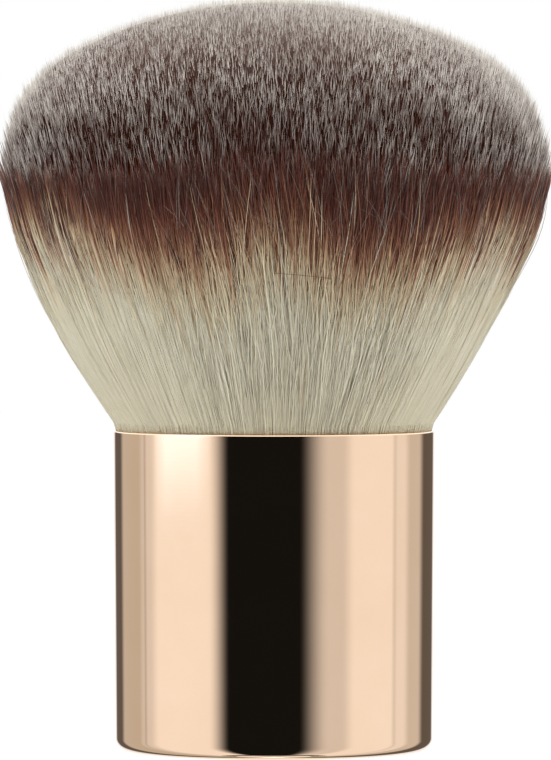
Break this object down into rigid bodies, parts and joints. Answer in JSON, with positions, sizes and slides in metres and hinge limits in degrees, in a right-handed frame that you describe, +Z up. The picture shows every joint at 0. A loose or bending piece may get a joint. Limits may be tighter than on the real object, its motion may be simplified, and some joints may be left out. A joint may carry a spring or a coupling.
{
  "type": "kabuki makeup brush",
  "caption": "Short-handled makeup brush with a weighted polished metal grip that stands upright and a dense, flared, dome-trimmed tuft of two-tone bristles for powder.",
  "frame": {"origin": "centre of the handle's flat base", "axes": "+Z up the handle's axis towards the bristle tips; the object is round about it"},
  "size_m": [0.0546, 0.0546, 0.0752],
  "materials": {
    "rose_metal": "polished rose-gold anodised sheet",
    "foam_tape": "white double-sided adhesive foam",
    "ballast_steel": "turned steel",
    "cup_plastic": "moulded black plastic",
    "clear_glue": "set amber adhesive",
    "cast_resin": "cast epoxy full of fibre roots",
    "cord_fibre": "waxed twisted cord",
    "bristle_root": "cream synthetic fibre",
    "bristle_tip": "dark brown synthetic fibre with pale tapered tips"
  },
  "bodies": {
    "handle": {"handle_shell": "rose_metal", "ballast_pad": "foam_tape", "ballast_weight": "ballast_steel", "bristle_cup": "cup_plastic", "socket_glue": "clear_glue", "resin_plug": "cast_resin", "binding_cord": "cord_fibre", "bristle_base": "bristle_root"},
    "head": {"bristle_head": "bristle_tip"}
  },
  "joints": [
    {"name": "bristle_bend", "type": "hinge", "parent": "handle", "child": "head", "pos_m": [0, 0, 0.0317], "axis": [0, 1, 0], "range_deg": [-20, 20], "stiffness_Nm_per_rad": 0.15}
  ]
}
